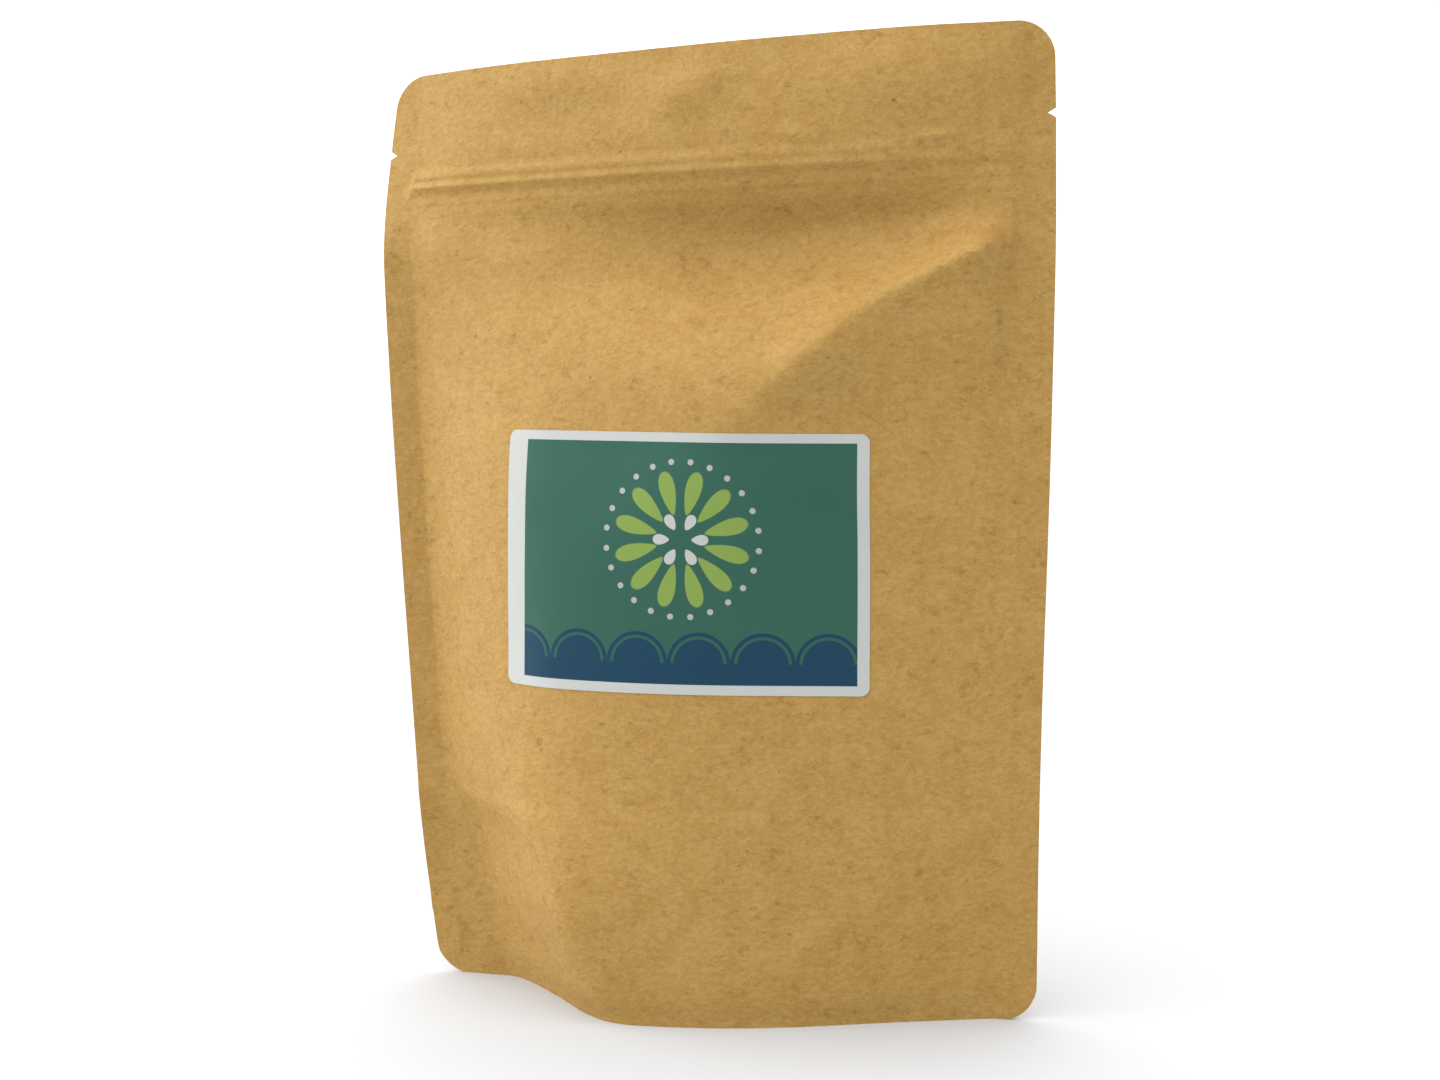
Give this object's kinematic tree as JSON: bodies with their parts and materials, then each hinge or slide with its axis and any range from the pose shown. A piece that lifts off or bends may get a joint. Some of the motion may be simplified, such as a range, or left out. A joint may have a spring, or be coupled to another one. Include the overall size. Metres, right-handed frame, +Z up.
{
  "type": "stand-up pouch",
  "caption": "Filled kraft-paper stand-up pouch with a press-to-close zip, tear notches, a bottom gusset and a plain rectangular paper label, holding dried gutweed.",
  "frame": {"origin": "centre of the bounding box's bottom face, on the floor the pouch stands on", "axes": "+X to the pouch's left side as it faces the viewer's right, +Y from the labelled front to the back, +Z up along the pouch's height"},
  "size_m": [0.1918, 0.0626, 0.259],
  "materials": {
    "front_panel": "matt kraft paper laminate",
    "back_panel": "matt kraft paper laminate",
    "bottom_gusset": "matt kraft paper laminate",
    "zip_track_front": "smooth translucent white polyethylene",
    "zip_track_back": "smooth translucent white polyethylene",
    "front_label": "semi-gloss coated paper with a printed field",
    "dried_gutweed": "dry, crumpled, dark green"
  },
  "bodies": {
    "root": {"front_panel": "front_panel", "back_panel": "back_panel", "bottom_gusset": "bottom_gusset", "zip_track_front": "zip_track_front", "zip_track_back": "zip_track_back", "front_label": "front_label", "dried_gutweed": "dried_gutweed"}
  },
  "joints": []
}
